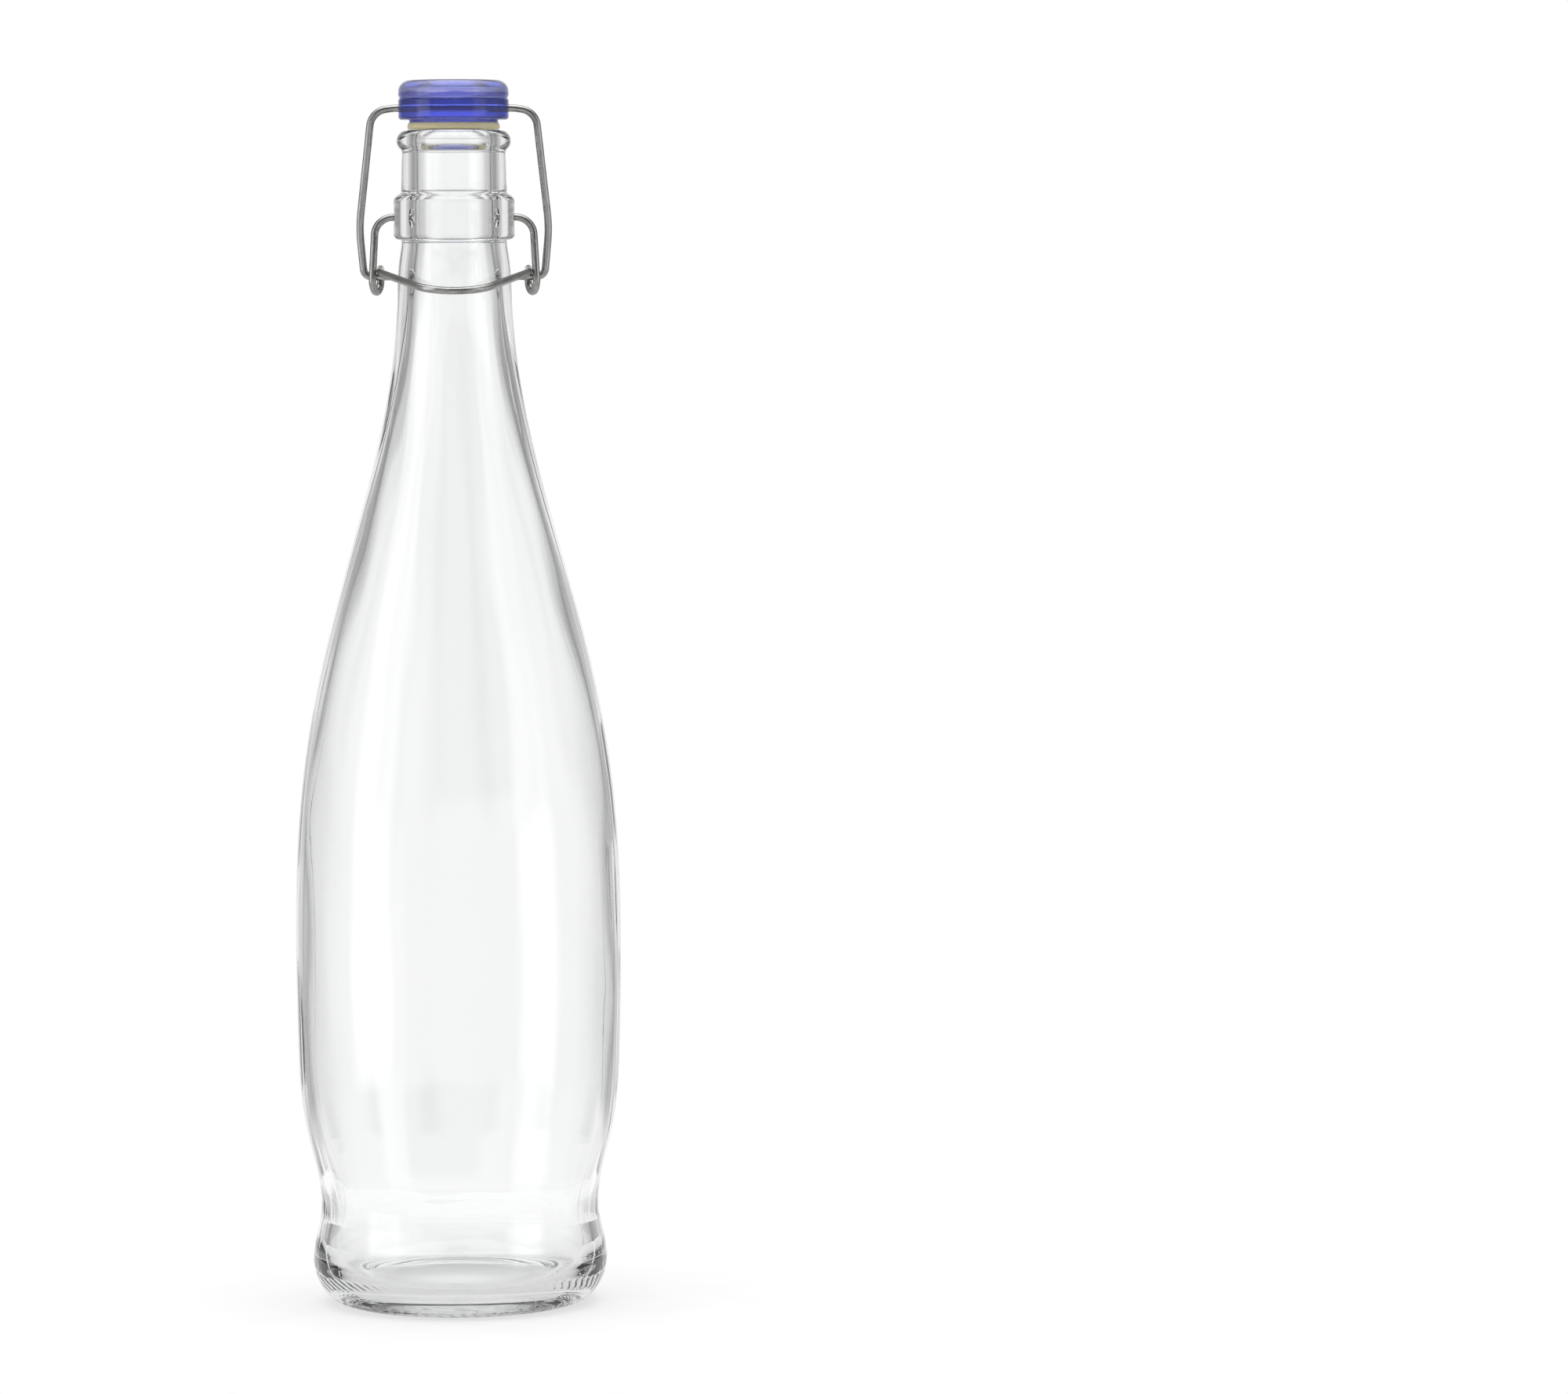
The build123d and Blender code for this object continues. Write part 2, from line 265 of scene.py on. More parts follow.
def spline(points, start, end, count):
    """A smooth curve through points, leaving and arriving in the given directions."""
    points = np.array(points, float)
    knots = np.concatenate([[0], np.cumsum(np.linalg.norm(np.diff(points, axis=0), axis=1))])
    start = np.array(start, float) / np.linalg.norm(start)
    end = np.array(end, float) / np.linalg.norm(end)
    size = len(points)
    rows = np.zeros((size, size))
    right = np.zeros((size, points.shape[1]))
    rows[0, 0] = rows[-1, -1] = 1
    right[0], right[-1] = start, end
    step = np.diff(knots)
    slope = np.diff(points, axis=0) / step[:, None]
    for i in range(1, size - 1):
        rows[i, i - 1: i + 2] = step[i], 2 * (step[i - 1] + step[i]), step[i - 1]
        right[i] = 3 * (step[i] * slope[i - 1] + step[i - 1] * slope[i])
    tangent = np.linalg.solve(rows, right)
    place = np.linspace(0, knots[-1], count)
    span = np.clip(np.searchsorted(knots, place, side="right") - 1, 0, size - 2)
    u = ((place - knots[span]) / step[span])[:, None]
    h = step[span][:, None]
    return (
        points[span] * (2 * u**3 - 3 * u**2 + 1)
        + tangent[span] * h * (u**3 - 2 * u**2 + u)
        + points[span + 1] * (3 * u**2 - 2 * u**3)
        + tangent[span + 1] * h * (u**3 - u**2)
    )


def line(first, last, count):
    return np.linspace(first, last, count)


def round_arc(centre, radii, start, turn, count):
    """Points of an arc or of a part of an ellipse; angles in degrees from +r to +z."""
    angle = np.radians(np.linspace(start, start + turn, count))
    return np.stack([centre[0] + radii[0] * np.cos(angle), centre[1] + radii[1] * np.sin(angle)], 1)


def arc_from(first, direction, last, count):
    """An arc that leaves the first point in a direction and ends at the last point."""
    first, last = np.array(first, float), np.array(last, float)
    direction = np.array(direction, float) / np.linalg.norm(direction)
    normal = np.array([-direction[1], direction[0]])
    chord = last - first
    radius = chord @ chord / (2 * (chord @ normal))
    centre = first + normal * radius
    start = math.atan2(*(first - centre)[::-1])
    end = math.atan2(*(last - centre)[::-1])
    turn = (end - start + math.pi) % (2 * math.pi) - math.pi
    return round_arc(centre, (abs(radius), abs(radius)), math.degrees(start), math.degrees(turn), count)


def joined(*pieces):
    """Outline pieces as one list of points, each shared end once."""
    points = [pieces[0]]
    points += [piece[1:] for piece in pieces[1:]]
    return np.concatenate(points)


def cut_short(points, reach):
    """Points of a line up to a distance before its end."""
    left = np.linalg.norm(np.diff(points, axis=0), axis=1)[::-1].cumsum()[::-1]
    keep = max(1, int(np.sum(left > reach)))
    after = left[keep] if keep < len(left) else 0.0
    share = (left[keep - 1] - reach) / max(left[keep - 1] - after, 1e-9)
    end = points[keep - 1] + np.clip(share, 0, 1) * (points[keep] - points[keep - 1])
    return np.concatenate([points[:keep], [end]])


def blended(pieces, reach, steps=5):
    """Outline pieces joined into one, with each corner between them rounded off."""
    pieces = [np.array(piece, float) for piece in pieces]
    outline = pieces[0]
    for piece in pieces[1:]:
        corner = piece[0]
        arrive, leave = corner - outline[-2], piece[1] - corner
        turn = arrive @ leave / (np.linalg.norm(arrive) * np.linalg.norm(leave))
        if turn > cos(12):
            outline = np.concatenate([outline, piece[1:]])
            continue
        length = np.linalg.norm(np.diff(piece, axis=0), axis=1).sum()
        before = np.linalg.norm(np.diff(outline, axis=0), axis=1).sum()
        size = min(reach, 0.45 * length, 0.45 * before)
        start = cut_short(outline, size)
        end = cut_short(piece[::-1], size)[::-1]
        u = np.linspace(0, 1, steps + 1)[1:-1, None]
        bend = start[-1] * (1 - u) ** 2 + corner * 2 * u * (1 - u) + end[0] * u * u
        outline = np.concatenate([start, bend, end])
    return outline


def make_object(name, vertices, faces, layers=None):
    """A smooth mesh object from points in millimetres, with UV layers of one pair per point."""
    mesh = bpy.data.meshes.new(name)
    mesh.from_pydata((np.asarray(vertices) * MM).tolist(), [], faces)
    corners = np.empty(len(mesh.loops), np.int32)
    mesh.loops.foreach_get("vertex_index", corners)
    for layer_name, pairs in (layers or {}).items():
        layer = mesh.uv_layers.new(name=layer_name)
        layer.data.foreach_set("uv", np.asarray(pairs, np.float32)[corners].ravel())
    mesh.shade_smooth()
    thing = bpy.data.objects.new(name, mesh)
    bpy.context.scene.collection.objects.link(thing)
    return thing


def grid_faces(rings, segments, closed):
    """Quads between neighbouring rings of points."""
    first = np.arange(rings if closed else rings - 1)[:, None] * segments
    after = (first + segments) % (rings * segments)
    here = np.arange(segments)
    there = (here + 1) % segments
    quads = np.stack([first + here, first + there, after + there, after + here], 2)
    return quads.reshape(-1, 4).tolist()


def dense_at_sides(segments, share):
    """Angles round an axis, closer together at +X and -X than at +Y and -Y."""
    angle = np.arange(segments) * 2 * math.pi / segments
    return angle - share / 2 * np.sin(2 * angle)


def turned(name, outline, angles, shape=None, closed=False):
    """A turned solid from an outline in (radius, height) that keeps its inside on the left.

    An open outline starts and ends on the axis. shape may move the points: it takes and
    returns radius and height, and gets each point's angle.
    """
    outline = np.asarray(outline, float)
    segments = len(angles)
    radius = np.repeat(outline[:, :1], segments, 1)
    height = np.repeat(outline[:, 1:], segments, 1)
    angle = np.repeat(angles[None], len(outline), 0)
    if shape:
        radius, height = shape(radius, height, angle)
    grid = np.stack([radius * np.cos(angle), radius * np.sin(angle), height], 2)
    if closed:
        return make_object(name, grid.reshape(-1, 3), grid_faces(len(grid), segments, True))
    body = grid[1:-1]
    vertices = np.concatenate([body.reshape(-1, 3), grid[:1, 0], grid[-1:, 0]])
    faces = grid_faces(len(body), segments, False)
    top, first = (len(body) - 1) * segments, len(body) * segments
    for j in range(segments):
        k = (j + 1) % segments
        faces += [(first, k, j), (first + 1, top + j, top + k)]
    return make_object(name, vertices, faces)


def rounded(points, radii):
    """A run of straight lines through points, with an arc of the given radius at each corner."""
    points = [Vector(point) for point in points]
    path = [points[0]]
    for before, corner, after, radius in zip(points, points[1:], points[2:], radii):
        back, ahead = (before - corner).normalized(), (after - corner).normalized()
        half = back.angle(ahead) / 2
        centre = corner + (back + ahead).normalized() * (radius / math.sin(half))
        start = corner + back * (radius / math.tan(half)) - centre
        end = corner + ahead * (radius / math.tan(half)) - centre
        axis = start.cross(end).normalized()
        turn = start.angle(end)
        count = max(4, math.ceil(radius * turn / ARC_STEP))
        path += [centre + Matrix.Rotation(turn * i / count, 3, axis) @ start for i in range(count + 1)]
    return path + [points[-1]]


def arc_about(centre, first, second, start, turn):
    """An arc about a centre, in the plane of two radii at right angles; in degrees."""
    count = math.ceil(first.length * math.radians(abs(turn)) / ARC_STEP)
    angles = [start + turn * i / count for i in range(count + 1)]
    return [centre + first * cos(angle) + second * sin(angle) for angle in angles]


def without_repeats(points):
    """The same points, each once, with long straight stretches divided."""
    path = [points[0]]
    for point in points[1:]:
        gap = (point - path[-1]).length
        if gap < 1e-4:
            continue
        count = max(1, round(gap / RUN_STEP))
        start = path[-1].copy()
        path += [start.lerp(point, i / count) for i in range(1, count + 1)]
    return path


ARC_STEP = 0.3
RUN_STEP = 1.0
WIRE_SEGMENTS = 28


def wire_tube(name, points, radius, tip):
    """A round wire along points, with its two ends cut square and a little rounded."""
    path = without_repeats(points)
    centre = np.array(path)
    ahead = np.gradient(centre, axis=0)
    ahead /= np.linalg.norm(ahead, axis=1)[:, None]
    side = np.cross(ahead[0], (0.3, 0.5, 0.8))
    sides = []
    for direction in ahead:
        side = side - direction * (side @ direction)
        side /= np.linalg.norm(side)
        sides.append(side)
    sides = np.array(sides)
    others = np.cross(ahead, sides)
    length = np.concatenate([[0], np.cumsum(np.linalg.norm(np.diff(centre, axis=0), axis=1))])

    # the rounded edge of a cut end, as (distance from the end, radius)
    edge = [(tip * (1 - cos(a)), radius - tip * (1 - sin(a))) for a in (0, 30, 60, 90)]
    rows = [(centre[0] + ahead[0] * d, 0, r) for d, r in edge]
    keep = (length > tip) & (length < length[-1] - tip)
    rows += [(centre[i], i, radius) for i in np.flatnonzero(keep)]
    last = len(centre) - 1
    rows += [(centre[-1] - ahead[-1] * d, last, r) for d, r in reversed(edge)]
    angle = np.arange(WIRE_SEGMENTS) * 2 * math.pi / WIRE_SEGMENTS
    ring = np.stack([np.cos(angle), np.sin(angle)], 1)
    vertices, around, along = [], [], []
    for place, i, size in rows:
        vertices.append(place + size * (ring[:, :1] * sides[i] + ring[:, 1:] * others[i]))
        around.append(ring)
        along.append(np.repeat([[length[i] / 10, 0.5]], WIRE_SEGMENTS, 0))
    vertices = np.concatenate([*vertices, [rows[0][0], rows[-1][0]]])
    around = np.concatenate([*around, [[0, 0], [0, 0]]])
    along = np.concatenate([*along, [[0, 0.5], [length[-1] / 10, 0.5]]])
    faces = grid_faces(len(rows), WIRE_SEGMENTS, False)
    top, first = (len(rows) - 1) * WIRE_SEGMENTS, len(rows) * WIRE_SEGMENTS
    for j in range(WIRE_SEGMENTS):
        k = (j + 1) % WIRE_SEGMENTS
        faces += [(first, k, j), (first + 1, top + j, top + k)]
    return make_object(name, vertices, faces, {"around": around, "along": along})


# ---------------------------------------------------------------- glass bottle

RING_INNER, RING_OUTER, PUSH_UP = 28.6, 30.5, 6.0
HEEL_RADIUS, HEEL_HEIGHT = 40.5, 12.5
FLANK = [  # radius and height of the outside, from heel to neck, as in the CAD
    (HEEL_RADIUS, HEEL_HEIGHT), (38.3, 24.0), (41.9, 47.0), (44.3, 74.0), (44.7, 106.0),
    (42.4, 145.0), (35.0, 184.0), (24.6, 222.5), (17.6, 255.0), (15.7, 274.0),
]
NECK_LEAN, NECK_TOP_LEAN = (-0.05, 1), (-0.1, 1)
NECK_MIDDLE, NECK_TOP = (15.3, 284.5), (14.5, 290.8)
BODY_WALL, WAIST_WALL, NECK_EXTRA = 2.8, 3.1, 1.3
STRAIGHT_WALL_TOP = 145.0
FLOOR_EDGE, FLOOR_TOP = (27.0, 5.6), 9.5
INNER_HEEL, FOOT_LEAN = [(36.3, 13.6), (33.2, 8.0)], (0.03, -1)
THROAT = (10.8, 285.0)
BORE_RADIUS, BORE_BOTTOM, MOUTH_EDGE = 10.0, 294.0, 1.6
COLLAR_RADIUS, COLLAR_BOTTOM, COLLAR_TOP = 16.6, 292.2, 304.8
COLLAR_TOP_EDGE, COLLAR_BOTTOM_EDGE = 2.5, 1.6
STEM_LOW, STEM_HIGH = 14.5, 14.15
LIP_RADIUS, LIP_BOTTOM = 15.6, 316.6

GLASS_SEGMENTS = 384
FIRE_POLISH, INNER_POLISH = 0.8, 2.0  # how far the glass's corners are rounded off
HOLE_RADIUS, HOLE_DEPTH, HOLE_EDGE = 1.2, 3.1, 0.3  # the pivot dimples
SINK_RADIUS, SINK_DEPTH = 2.6, 1.2
SKIN_SLACK = 0.1  # the outside's waves only go inwards, so the CAD size is kept
OUTER_WAVES = [(0.25, 2, 41, 0.8), (0.25, 5, -23, 0.0)]  # size, turns, rise per radian, phase
INNER_WAVES = [(0.09, 3, 31, 0.0), (0.063, 7, -13, 2.1), (0.045, 2, 6.5, 0.0), (0.036, 11, 9, 0.0)]
WAVE_SPAN = (6, 290, 14)  # lowest, highest, and the height over which they fade
SEAM_HEIGHT, SEAM_WIDTH, SEAM_SPAN = 0.07, 0.35, (1.5, 292, 5)
STIPPLES, STIPPLE_DEPTH, STIPPLE_SLANT = 64, 0.28, 0.02
STIPPLE_INNER, STIPPLE_OUTER = 31.6, 36.6
LIP_MIDDLE = (LIP_BOTTOM + LIP_TOP) / 2


def wall(height):
    """Wall thickness of the flank: even in the body, and thicker towards the neck."""
    above = max(0.0, height - STRAIGHT_WALL_TOP)
    return BODY_WALL + NECK_EXTRA * (above / (FLANK[-1][1] - STRAIGHT_WALL_TOP)) ** 2


def glass_outline():
    """Outside and inside of the glass: up the outside, over the lip and down the cavity."""
    collar_low = COLLAR_BOTTOM + COLLAR_BOTTOM_EDGE
    collar_high = COLLAR_TOP - COLLAR_TOP_EDGE
    under_collar = (COLLAR_RADIUS - COLLAR_BOTTOM_EDGE, COLLAR_BOTTOM)
    lip_edge = LIP_TOP - LIP_MIDDLE
    mouth = (BORE_RADIUS + MOUTH_EDGE, LIP_TOP)
    bore_top = (BORE_RADIUS, LIP_TOP - MOUTH_EDGE)
    skin = [(radius - wall(height), height) for radius, height in reversed(FLANK[2:])]
    foot = (FLANK[1][0] - WAIST_WALL, FLANK[1][1])
    heel_size = (HEEL_RADIUS - RING_OUTER, HEEL_HEIGHT)
    outside = blended([
        arc_from((0, PUSH_UP), (1, 0), (RING_INNER, 0), 12),
        line((RING_INNER, 0), (RING_OUTER, 0), 3),
        round_arc((RING_OUTER, HEEL_HEIGHT), heel_size, -90, 90, 28),
        spline(FLANK, (0, 1), NECK_LEAN, 64),
        spline([FLANK[-1], NECK_MIDDLE, NECK_TOP], NECK_LEAN, NECK_TOP_LEAN, 8),
        line(NECK_TOP, (NECK_TOP[0], COLLAR_BOTTOM), 3),
        line((NECK_TOP[0], COLLAR_BOTTOM), under_collar, 3),
        arc_from(under_collar, (1, 0), (COLLAR_RADIUS, collar_low), 5),
        line((COLLAR_RADIUS, collar_low), (COLLAR_RADIUS, collar_high), 28),
        arc_from((COLLAR_RADIUS, collar_high), (0, 1), (STEM_LOW, COLLAR_TOP), 7),
        line((STEM_LOW, COLLAR_TOP), (STEM_HIGH, LIP_BOTTOM), 5),
        lip_arc((STEM_HIGH, LIP_BOTTOM), (LIP_RADIUS, LIP_MIDDLE), (LIP_RADIUS - lip_edge, LIP_TOP), 14),
        line((LIP_RADIUS - lip_edge, LIP_TOP), mouth, 3),
    ], FIRE_POLISH)
    inside = blended([
        arc_from(mouth, (-1, 0), bore_top, 7),
        line(bore_top, (BORE_RADIUS, BORE_BOTTOM), 5),
        spline([(BORE_RADIUS, BORE_BOTTOM), THROAT, *skin, foot], (0, -1), FOOT_LEAN, 76),
        spline([foot, *INNER_HEEL, FLOOR_EDGE], FOOT_LEAN, (-1, 0), 18),
        arc_from((0, FLOOR_TOP), (1, 0), FLOOR_EDGE, 10)[::-1],
    ], INNER_POLISH)
    return outside, inside


def lip_arc(first, middle, last, count):
    """The arc through three points."""
    (ax, ay), (bx, by), (cx, cy) = first, middle, last
    rows = np.array([[bx - ax, by - ay], [cx - bx, cy - by]])
    sums = np.array([bx * bx - ax * ax + by * by - ay * ay, cx * cx - bx * bx + cy * cy - by * by]) / 2
    centre = np.linalg.solve(rows, sums)
    radius = math.hypot(ax - centre[0], ay - centre[1])
    start = math.degrees(math.atan2(ay - centre[1], ax - centre[0]))
    end = math.degrees(math.atan2(cy - centre[1], cx - centre[0]))
    return round_arc(centre, (radius, radius), start, (end - start) % 360, count)


def bump_window(value, low, high, edge):
    """1 between low and high, falling smoothly to 0 over the edge on both sides."""
    rise = np.clip((value - low) / edge, 0, 1) * np.clip((high - value) / edge, 0, 1)
    return rise * rise * (3 - 2 * rise)


def waves(table, height, angle):
    """The sum of some slow waves round and up the bottle."""
    return sum(size * np.sin(turns * angle + height / step + phase) for size, turns, step, phase in table)


def glass_shape(outside_rows):
    """Moves the turned glass: waves, mould seam, stippled heel and pivot dimples."""

    def shape(radius, height, angle):
        row = np.arange(len(radius))[:, None]
        outer = row < outside_rows
        body = bump_window(height, *WAVE_SPAN)
        outer_wave = SKIN_SLACK * (waves(OUTER_WAVES, height, angle) - 0.5)
        off_seam = np.abs(radius * np.sin(angle)) / SEAM_WIDTH
        seam = SEAM_HEIGHT * np.exp(-off_seam * off_seam) * bump_window(height, *SEAM_SPAN)
        skin = body * outer_wave + seam - SEAM_HEIGHT * (seam > 0)
        radius = radius + np.where(outer, skin, body * waves(INNER_WAVES, height, angle))

        ring = bump_window(radius, STIPPLE_INNER, STIPPLE_OUTER, 1.0) * (height < HEEL_HEIGHT / 2) * outer
        bead = np.clip(np.cos(STIPPLES * (angle + STIPPLE_SLANT * radius)), 0, 1)
        height = height + STIPPLE_DEPTH * ring * bead

        from_pivot = np.hypot(radius * np.sin(angle), height - PIVOT_Z)
        sink = SINK_DEPTH * np.clip((SINK_RADIUS - from_pivot) / (SINK_RADIUS - HOLE_RADIUS), 0, 1)
        hole = (HOLE_DEPTH - SINK_DEPTH) * np.clip((HOLE_RADIUS - from_pivot) / HOLE_EDGE, 0, 1)
        on_collar = outer & (radius > COLLAR_RADIUS - 0.5) & (np.abs(height - PIVOT_Z) < SINK_RADIUS)
        return radius - on_collar * (sink + hole), height

    return shape


def glass_material():
    material = bpy.data.materials.new("clear_glass")
    t = Tree(material)
    place = t.add("ShaderNodeTexCoord").outputs["Object"]
    tint = t.mix(t.noise(place, 22.0, 3.0), (0.975, 0.985, 0.98, 1), (0.995, 0.998, 0.996, 1))
    handled = t.ramp(t.noise(place, 160.0, 6.0, 0.6), 0.5, 0.75, 0.0, 0.012)
    ripple = t.noise(t.stretch(place, (1, 1, 0.35)), 90.0, 2.0)
    seeds = t.noise(place, 900.0, 1.0)
    relief = t.math("MULTIPLY_ADD", seeds, 0.03, ripple)
    bump = t.add("ShaderNodeBump", {"Strength": 0.05, "Distance": 0.0006, "Height": relief})
    glass = t.add("ShaderNodeBsdfPrincipled", {
        "Base Color": tint, "Roughness": handled, "IOR": 1.5, "Transmission Weight": 1.0,
        "Normal": bump.outputs[0],
    })
    depth = t.add("ShaderNodeVolumeAbsorption", {"Color": (0.18, 0.20, 0.19, 1), "Density": 8.0})
    t.add("ShaderNodeOutputMaterial", {"Surface": glass.outputs[0], "Volume": depth.outputs[0]})
    return material


def make_bottle():
    outside, inside = glass_outline()
    angles = dense_at_sides(GLASS_SEGMENTS, 0.5)
    outline = joined(outside, inside)
    bottle = turned("bottle_glass", outline, angles, glass_shape(len(outside)))
    bottle.data.materials.append(glass_material())
    finish_piece(bottle, "bottle", "glass_bottle")


def finish_piece(piece, body, node):
    """A piece stands for its CAD node and moves with its body."""
    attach(piece, body)
    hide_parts(node)


# ---------------------------------------------------------------- stopper and gasket

HEAD_BOTTOM, HEAD_TOP_EDGE, HEAD_BOTTOM_EDGE = 324.9, 3.2, 0.9
DISH_RADIUS, DISH_DEPTH = 9.0, 0.7
GROOVE_HEIGHT, GROOVE_WIDTH, GROOVE_DEPTH = 330.9, 1.0, 0.3
STEP_RADIUS, PEG_RADIUS = 12.2, 6.0
BUTTON_RADIUS, BUTTON_HEIGHT, BUTTON_EDGE = 7.6, 1.0, 0.7
CROSS_HOLE = 1.12
GASKET_TOP = GASKET_HIGH[2] / MM
GASKET_BOTTOM = GASKET_LOW[2] / MM
GASKET_RADIUS = GASKET_HIGH[0] / MM
TURNED_SEGMENTS = 160


def head_outline():
    """The stopper from the middle of the button, round the outside, to the middle of its top."""
    bottom = GASKET_BOTTOM - BUTTON_HEIGHT
    flat_edge = (BUTTON_RADIUS - BUTTON_EDGE, bottom)
    side_low = (BUTTON_RADIUS, bottom + BUTTON_EDGE)
    under = (HEAD_RADIUS - HEAD_BOTTOM_EDGE, HEAD_BOTTOM)
    low = (HEAD_RADIUS, HEAD_BOTTOM + HEAD_BOTTOM_EDGE)
    groove_low = (HEAD_RADIUS, GROOVE_HEIGHT - GROOVE_WIDTH / 2)
    groove_high = (HEAD_RADIUS, GROOVE_HEIGHT + GROOVE_WIDTH / 2)
    groove_middle = (HEAD_RADIUS - GROOVE_DEPTH, GROOVE_HEIGHT)
    high = (HEAD_RADIUS, HEAD_TOP - HEAD_TOP_EDGE)
    top_edge = (HEAD_RADIUS - HEAD_TOP_EDGE, HEAD_TOP)
    soft = 0.2  # small moulded rounding of the inner corners
    return joined(
        line((0, bottom), flat_edge, 4),
        arc_from(flat_edge, (1, 0), side_low, 8),
        line(side_low, (BUTTON_RADIUS, GASKET_BOTTOM - soft), 2),
        arc_from((BUTTON_RADIUS, GASKET_BOTTOM - soft), (0, 1), (BUTTON_RADIUS - soft, GASKET_BOTTOM), 4),
        line((BUTTON_RADIUS - soft, GASKET_BOTTOM), (PEG_RADIUS, GASKET_BOTTOM), 3),
        line((PEG_RADIUS, GASKET_BOTTOM), (PEG_RADIUS, GASKET_TOP), 3),
        line((PEG_RADIUS, GASKET_TOP), (STEP_RADIUS - soft, GASKET_TOP), 5),
        arc_from((STEP_RADIUS - soft, GASKET_TOP), (1, 0), (STEP_RADIUS, GASKET_TOP + soft), 4),
        line((STEP_RADIUS, GASKET_TOP + soft), (STEP_RADIUS, HEAD_BOTTOM), 2),
        line((STEP_RADIUS, HEAD_BOTTOM), under, 3),
        arc_from(under, (1, 0), low, 7),
        line(low, groove_low, 8),
        lip_arc(groove_high, groove_middle, groove_low, 9)[::-1],
        line(groove_high, high, 3),
        arc_from(high, (0, 1), top_edge, 16),
        line(top_edge, (DISH_RADIUS, HEAD_TOP), 4),
        arc_from((0, HEAD_TOP - DISH_DEPTH), (1, 0), (DISH_RADIUS, HEAD_TOP), 12)[::-1],
    )


def cut_cross_hole(head):
    """Cuts the hole that the bail's crossbar runs through."""
    flare, reach = 0.35, HEAD_RADIUS
    hole = [(0, -reach - 2), (CROSS_HOLE + flare, -reach - 2), (CROSS_HOLE + flare, 0.3 - reach)]
    hole += [(CROSS_HOLE, 0.3 + flare - reach), (CROSS_HOLE, reach - 0.3 - flare)]
    hole += [(CROSS_HOLE + flare, reach - 0.3), (CROSS_HOLE + flare, reach + 2), (0, reach + 2)]
    angles = np.arange(40) * 2 * math.pi / 40
    cutter = turned("cross_hole_cutter", hole, angles)
    cutter.data.transform(Matrix.Rotation(math.pi / 2, 4, "Y"))
    cutter.data.transform(Matrix.Translation((0, CROSSBAR_Y * MM, CROSSBAR_Z * MM)))
    cut = head.modifiers.new("cross_hole", "BOOLEAN")
    cut.object = cutter
    cut.operation = "DIFFERENCE"
    cut.solver = "EXACT"
    bpy.context.view_layer.update()
    evaluated = head.evaluated_get(bpy.context.evaluated_depsgraph_get())
    result = bpy.data.meshes.new_from_object(evaluated)
    head.modifiers.clear()
    head.data = result
    bpy.data.objects.remove(cutter)
    head.data.set_sharp_from_angle(angle=math.radians(42))


HEAD_PAINTED_BANDS = [  # painted reflections and painted shade: light and dark bands of colour by height, below a rim painted light as the ceiling's reflection: mm below the top, shade
    (2.9, 3.6, (0.22, 0.21, 0.60)),
    (3.9, 4.5, (0.46, 0.50, 0.90)),
    (4.7, 5.3, (0.035, 0.055, 0.38)),
    (6.9, 8.0, (0.14, 0.18, 0.88)),
    (9.6, 10.4, (0.14, 0.15, 0.52)),
]


def head_material():
    material = bpy.data.materials.new("blue_plastic")
    t = Tree(material)
    place = t.add("ShaderNodeTexCoord").outputs["Object"]
    cloud = t.noise(place, 90.0, 4.0, 0.6)
    flow = t.noise(t.stretch(place, (1, 1, 4)), 160.0, 3.0)
    x, y, height = t.add("ShaderNodeSeparateXYZ", {0: place}).outputs
    from_axis = t.math("SQRT", t.math("ADD", t.math("MULTIPLY", x, x), t.math("MULTIPLY", y, y)))
    depth = t.math("DIVIDE", t.math("SUBTRACT", HEAD_HIGH[2], height), MM)
    depth = t.math("ADD", depth, t.math("MULTIPLY_ADD", flow, 1.4, -0.7))
    # painted highlight: the rounded rim of the top is painted near white as the ceiling's reflection, and
    # the middle of the top stays blue
    body = t.mix(cloud, (0.86, 0.87, 0.97, 1), (0.95, 0.95, 0.99, 1))
    body = t.mix(t.ramp(from_axis, 10.5 * MM, 12.5 * MM, 1.0, 0.0), body, (0.42, 0.46, 0.96, 1))
    # painted shade and painted reflections: bands of dark and light blue, stepped down from the top
    for low, high, shade in HEAD_PAINTED_BANDS:
        body = t.mix(t.ramp(depth, low, high, 0.0, 1.0), body, (*shade, 1))
    worn = t.ramp(t.noise(place, 700.0, 6.0, 0.65), 0.55, 0.75, 0.0, 1.0)
    colour = t.mix(t.math("MULTIPLY", worn, 0.15), body, (0.6, 0.62, 0.95, 1))
    gloss = t.math("MULTIPLY_ADD", worn, 0.12, t.ramp(flow, 0.3, 0.7, 0.08, 0.14))
    relief = t.math("MULTIPLY_ADD", t.noise(place, 1500.0, 3.0), 0.3, flow)
    bump = t.add("ShaderNodeBump", {"Strength": 0.12, "Distance": 0.0002, "Height": relief})
    plastic = t.add("ShaderNodeBsdfPrincipled", {
        "Base Color": colour, "Roughness": gloss, "IOR": 1.49, "Transmission Weight": 0.88,
        "Normal": bump.outputs[0],
    })
    dye = t.add("ShaderNodeVolumeAbsorption", {"Color": (0.22, 0.30, 0.92, 1), "Density": 30.0})
    t.add("ShaderNodeOutputMaterial", {"Surface": plastic.outputs[0], "Volume": dye.outputs[0]})
    return material


def make_head():
    angles = np.arange(TURNED_SEGMENTS) * 2 * math.pi / TURNED_SEGMENTS
    head = turned("stopper_plastic", head_outline(), angles)
    cut_cross_hole(head)
    head.data.materials.append(head_material())
    finish_piece(head, "stopper", "stopper_head")


